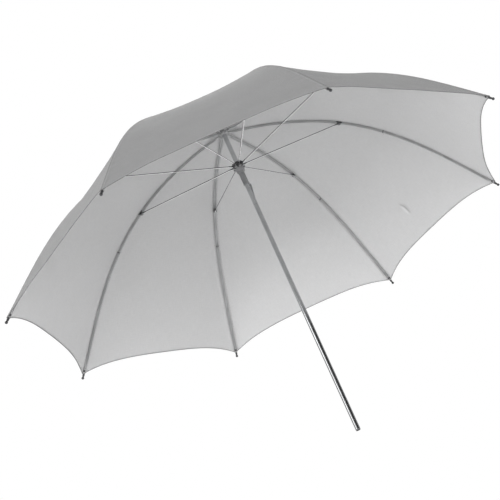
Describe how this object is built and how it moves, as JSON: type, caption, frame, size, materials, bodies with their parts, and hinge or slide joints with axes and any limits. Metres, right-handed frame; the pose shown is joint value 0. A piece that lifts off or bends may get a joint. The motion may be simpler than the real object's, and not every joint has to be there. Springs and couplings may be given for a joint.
{
  "type": "umbrella reflector",
  "caption": "Folding umbrella reflector: scalloped fabric canopy on curved ribs and stretchers, with a sliding runner and catch on a bare round shaft.",
  "frame": {"origin": "centre of the shaft's free end, the end that goes into a stand bracket", "axes": "+Z along the shaft towards the crown; +X along the first rib; +Y completes a right-handed frame"},
  "size_m": [0.9074, 0.9074, 0.6183],
  "materials": {
    "shaft_chrome": "bright chrome plating",
    "sleeve_grey": "satin grey",
    "rib_steel": "satin zinc plating",
    "stretcher_steel": "bright plated",
    "steel_wire": "plain drawn wire",
    "spring_steel": "bright spring steel",
    "tip_metal": "dark plated",
    "black_plastic": "moulded, fine grain",
    "grey_plastic": "moulded",
    "canopy_cloth": "woven, mid grey outside and pale silver inside",
    "strap_cloth": "woven, hemmed",
    "snap_metal": "pressed"
  },
  "bodies": {
    "shaft": {"shaft_tube": "shaft_chrome", "end_plug": "grey_plastic", "crown_notch": "black_plastic", "crown_wire": "steel_wire", "crown_pin": "steel_wire", "top_ferrule": "shaft_chrome", "top_washer": "black_plastic", "catch_pin": "steel_wire", "canopy": "canopy_cloth", "tie_strap": "strap_cloth", "strap_snap": "snap_metal"},
    "catch": {"catch_lever": "spring_steel"},
    "runner": {"runner_sleeve": "sleeve_grey", "runner_head": "black_plastic", "runner_wire": "steel_wire"},
    "rib_1": {"rib_1_inner": "rib_steel"},
    "rib_1_mid": {"rib_1_middle": "rib_steel"},
    "rib_1_end": {"rib_1_outer": "rib_steel", "rib_tip_1": "tip_metal"},
    "stretcher_1": {"stretcher_1": "stretcher_steel"},
    "rib_2": {"rib_2_inner": "rib_steel"},
    "rib_2_mid": {"rib_2_middle": "rib_steel"},
    "rib_2_end": {"rib_2_outer": "rib_steel", "rib_tip_2": "tip_metal"},
    "stretcher_2": {"stretcher_2": "stretcher_steel"},
    "rib_3": {"rib_3_inner": "rib_steel"},
    "rib_3_mid": {"rib_3_middle": "rib_steel"},
    "rib_3_end": {"rib_3_outer": "rib_steel", "rib_tip_3": "tip_metal"},
    "stretcher_3": {"stretcher_3": "stretcher_steel"},
    "rib_4": {"rib_4_inner": "rib_steel"},
    "rib_4_mid": {"rib_4_middle": "rib_steel"},
    "rib_4_end": {"rib_4_outer": "rib_steel", "rib_tip_4": "tip_metal"},
    "stretcher_4": {"stretcher_4": "stretcher_steel"},
    "rib_5": {"rib_5_inner": "rib_steel"},
    "rib_5_mid": {"rib_5_middle": "rib_steel"},
    "rib_5_end": {"rib_5_outer": "rib_steel", "rib_tip_5": "tip_metal"},
    "stretcher_5": {"stretcher_5": "stretcher_steel"},
    "rib_6": {"rib_6_inner": "rib_steel"},
    "rib_6_mid": {"rib_6_middle": "rib_steel"},
    "rib_6_end": {"rib_6_outer": "rib_steel", "rib_tip_6": "tip_metal"},
    "stretcher_6": {"stretcher_6": "stretcher_steel"},
    "rib_7": {"rib_7_inner": "rib_steel"},
    "rib_7_mid": {"rib_7_middle": "rib_steel"},
    "rib_7_end": {"rib_7_outer": "rib_steel", "rib_tip_7": "tip_metal"},
    "stretcher_7": {"stretcher_7": "stretcher_steel"},
    "rib_8": {"rib_8_inner": "rib_steel"},
    "rib_8_mid": {"rib_8_middle": "rib_steel"},
    "rib_8_end": {"rib_8_outer": "rib_steel", "rib_tip_8": "tip_metal"},
    "stretcher_8": {"stretcher_8": "stretcher_steel"}
  },
  "joints": [
    {"name": "fold", "type": "hinge", "parent": "shaft", "child": "rib_1", "pos_m": [0.008, 0, 0.5885], "axis": [0, 1, 0], "range_deg": [0, 77.65], "deforming": ["canopy", "tie_strap", "strap_snap", "catch_lever"]},
    {"name": "flex_mid_1", "type": "hinge", "parent": "rib_1", "child": "rib_1_mid", "pos_m": [0.22185, 0, 0.55282], "axis": [0, 1, 0], "range_deg": [-20.02, 0]},
    {"name": "flex_end_1", "type": "hinge", "parent": "rib_1_mid", "child": "rib_1_end", "pos_m": [0.34396, 0, 0.46972], "axis": [0, 1, 0], "range_deg": [-16.02, 0]},
    {"name": "joiner_1", "type": "hinge", "parent": "rib_1", "child": "stretcher_1", "pos_m": [0.21213, 0, 0.55344], "axis": [0, 1, 0], "range_deg": [-155.32, 0]},
    {"name": "fold_rib_2", "type": "hinge", "parent": "shaft", "child": "rib_2", "pos_m": [0.00566, 0.00566, 0.5885], "axis": [-0.7071, 0.7071, 0], "range_deg": [0, 77.65]},
    {"name": "flex_mid_2", "type": "hinge", "parent": "rib_2", "child": "rib_2_mid", "pos_m": [0.15687, 0.15687, 0.55282], "axis": [-0.7071, 0.7071, 0], "range_deg": [-20.02, 0]},
    {"name": "flex_end_2", "type": "hinge", "parent": "rib_2_mid", "child": "rib_2_end", "pos_m": [0.24321, 0.24321, 0.46972], "axis": [-0.7071, 0.7071, 0], "range_deg": [-16.02, 0]},
    {"name": "joiner_2", "type": "hinge", "parent": "rib_2", "child": "stretcher_2", "pos_m": [0.15, 0.15, 0.55344], "axis": [-0.7071, 0.7071, 0], "range_deg": [-155.32, 0]},
    {"name": "fold_rib_3", "type": "hinge", "parent": "shaft", "child": "rib_3", "pos_m": [0, 0.008, 0.5885], "axis": [-1, 0, 0], "range_deg": [0, 77.65]},
    {"name": "flex_mid_3", "type": "hinge", "parent": "rib_3", "child": "rib_3_mid", "pos_m": [0, 0.22185, 0.55282], "axis": [-1, 0, 0], "range_deg": [-20.02, 0]},
    {"name": "flex_end_3", "type": "hinge", "parent": "rib_3_mid", "child": "rib_3_end", "pos_m": [0, 0.34396, 0.46972], "axis": [-1, 0, 0], "range_deg": [-16.02, 0]},
    {"name": "joiner_3", "type": "hinge", "parent": "rib_3", "child": "stretcher_3", "pos_m": [0, 0.21213, 0.55344], "axis": [-1, 0, 0], "range_deg": [-155.32, 0]},
    {"name": "fold_rib_4", "type": "hinge", "parent": "shaft", "child": "rib_4", "pos_m": [-0.00566, 0.00566, 0.5885], "axis": [-0.7071, -0.7071, 0], "range_deg": [0, 77.65]},
    {"name": "flex_mid_4", "type": "hinge", "parent": "rib_4", "child": "rib_4_mid", "pos_m": [-0.15687, 0.15687, 0.55282], "axis": [-0.7071, -0.7071, 0], "range_deg": [-20.02, 0]},
    {"name": "flex_end_4", "type": "hinge", "parent": "rib_4_mid", "child": "rib_4_end", "pos_m": [-0.24321, 0.24321, 0.46972], "axis": [-0.7071, -0.7071, 0], "range_deg": [-16.02, 0]},
    {"name": "joiner_4", "type": "hinge", "parent": "rib_4", "child": "stretcher_4", "pos_m": [-0.15, 0.15, 0.55344], "axis": [-0.7071, -0.7071, 0], "range_deg": [-155.32, 0]},
    {"name": "fold_rib_5", "type": "hinge", "parent": "shaft", "child": "rib_5", "pos_m": [-0.008, 0, 0.5885], "axis": [0, -1, 0], "range_deg": [0, 77.65]},
    {"name": "flex_mid_5", "type": "hinge", "parent": "rib_5", "child": "rib_5_mid", "pos_m": [-0.22185, 0, 0.55282], "axis": [0, -1, 0], "range_deg": [-20.02, 0]},
    {"name": "flex_end_5", "type": "hinge", "parent": "rib_5_mid", "child": "rib_5_end", "pos_m": [-0.34396, 0, 0.46972], "axis": [0, -1, 0], "range_deg": [-16.02, 0]},
    {"name": "joiner_5", "type": "hinge", "parent": "rib_5", "child": "stretcher_5", "pos_m": [-0.21213, 0, 0.55344], "axis": [0, -1, 0], "range_deg": [-155.32, 0]},
    {"name": "fold_rib_6", "type": "hinge", "parent": "shaft", "child": "rib_6", "pos_m": [-0.00566, -0.00566, 0.5885], "axis": [0.7071, -0.7071, 0], "range_deg": [0, 77.65]},
    {"name": "flex_mid_6", "type": "hinge", "parent": "rib_6", "child": "rib_6_mid", "pos_m": [-0.15687, -0.15687, 0.55282], "axis": [0.7071, -0.7071, 0], "range_deg": [-20.02, 0]},
    {"name": "flex_end_6", "type": "hinge", "parent": "rib_6_mid", "child": "rib_6_end", "pos_m": [-0.24321, -0.24321, 0.46972], "axis": [0.7071, -0.7071, 0], "range_deg": [-16.02, 0]},
    {"name": "joiner_6", "type": "hinge", "parent": "rib_6", "child": "stretcher_6", "pos_m": [-0.15, -0.15, 0.55344], "axis": [0.7071, -0.7071, 0], "range_deg": [-155.32, 0]},
    {"name": "fold_rib_7", "type": "hinge", "parent": "shaft", "child": "rib_7", "pos_m": [0, -0.008, 0.5885], "axis": [1, 0, 0], "range_deg": [0, 77.65]},
    {"name": "flex_mid_7", "type": "hinge", "parent": "rib_7", "child": "rib_7_mid", "pos_m": [0, -0.22185, 0.55282], "axis": [1, 0, 0], "range_deg": [-20.02, 0]},
    {"name": "flex_end_7", "type": "hinge", "parent": "rib_7_mid", "child": "rib_7_end", "pos_m": [0, -0.34396, 0.46972], "axis": [1, 0, 0], "range_deg": [-16.02, 0]},
    {"name": "joiner_7", "type": "hinge", "parent": "rib_7", "child": "stretcher_7", "pos_m": [0, -0.21213, 0.55344], "axis": [1, 0, 0], "range_deg": [-155.32, 0]},
    {"name": "fold_rib_8", "type": "hinge", "parent": "shaft", "child": "rib_8", "pos_m": [0.00566, -0.00566, 0.5885], "axis": [0.7071, 0.7071, 0], "range_deg": [0, 77.65]},
    {"name": "flex_mid_8", "type": "hinge", "parent": "rib_8", "child": "rib_8_mid", "pos_m": [0.15687, -0.15687, 0.55282], "axis": [0.7071, 0.7071, 0], "range_deg": [-20.02, 0]},
    {"name": "flex_end_8", "type": "hinge", "parent": "rib_8_mid", "child": "rib_8_end", "pos_m": [0.24321, -0.24321, 0.46972], "axis": [0.7071, 0.7071, 0], "range_deg": [-16.02, 0]},
    {"name": "joiner_8", "type": "hinge", "parent": "rib_8", "child": "stretcher_8", "pos_m": [0.15, -0.15, 0.55344], "axis": [0.7071, 0.7071, 0], "range_deg": [-155.32, 0]},
    {"name": "runner_pivot", "type": "hinge", "parent": "stretcher_1", "child": "runner", "pos_m": [0.008, 0, 0.51838], "axis": [0, 1, 0], "range_deg": [0, 77.67]},
    {"name": "catch_press", "type": "hinge", "parent": "shaft", "child": "catch", "pos_m": [0, 0, 0.44128], "axis": [-0.1736, -0.9848, 0], "range_deg": [0, 6.5], "stiffness_Nm_per_rad": 0.4}
  ],
  "couplings": [
    {"joint": "flex_mid_1", "follows": "fold", "ratio": -0.25757},
    {"joint": "flex_end_1", "follows": "fold", "ratio": -0.20605},
    {"joint": "joiner_1", "follows": "fold", "ratio": -2},
    {"joint": "fold_rib_2", "follows": "fold", "ratio": 1},
    {"joint": "flex_mid_2", "follows": "fold", "ratio": -0.25757},
    {"joint": "flex_end_2", "follows": "fold", "ratio": -0.20605},
    {"joint": "joiner_2", "follows": "fold", "ratio": -2},
    {"joint": "fold_rib_3", "follows": "fold", "ratio": 1},
    {"joint": "flex_mid_3", "follows": "fold", "ratio": -0.25757},
    {"joint": "flex_end_3", "follows": "fold", "ratio": -0.20605},
    {"joint": "joiner_3", "follows": "fold", "ratio": -2},
    {"joint": "fold_rib_4", "follows": "fold", "ratio": 1},
    {"joint": "flex_mid_4", "follows": "fold", "ratio": -0.25757},
    {"joint": "flex_end_4", "follows": "fold", "ratio": -0.20605},
    {"joint": "joiner_4", "follows": "fold", "ratio": -2},
    {"joint": "fold_rib_5", "follows": "fold", "ratio": 1},
    {"joint": "flex_mid_5", "follows": "fold", "ratio": -0.25757},
    {"joint": "flex_end_5", "follows": "fold", "ratio": -0.20605},
    {"joint": "joiner_5", "follows": "fold", "ratio": -2},
    {"joint": "fold_rib_6", "follows": "fold", "ratio": 1},
    {"joint": "flex_mid_6", "follows": "fold", "ratio": -0.25757},
    {"joint": "flex_end_6", "follows": "fold", "ratio": -0.20605},
    {"joint": "joiner_6", "follows": "fold", "ratio": -2},
    {"joint": "fold_rib_7", "follows": "fold", "ratio": 1},
    {"joint": "flex_mid_7", "follows": "fold", "ratio": -0.25757},
    {"joint": "flex_end_7", "follows": "fold", "ratio": -0.20605},
    {"joint": "joiner_7", "follows": "fold", "ratio": -2},
    {"joint": "fold_rib_8", "follows": "fold", "ratio": 1},
    {"joint": "flex_mid_8", "follows": "fold", "ratio": -0.25757},
    {"joint": "flex_end_8", "follows": "fold", "ratio": -0.20605},
    {"joint": "joiner_8", "follows": "fold", "ratio": -2},
    {"joint": "runner_pivot", "follows": "fold", "ratio": 1}
  ]
}
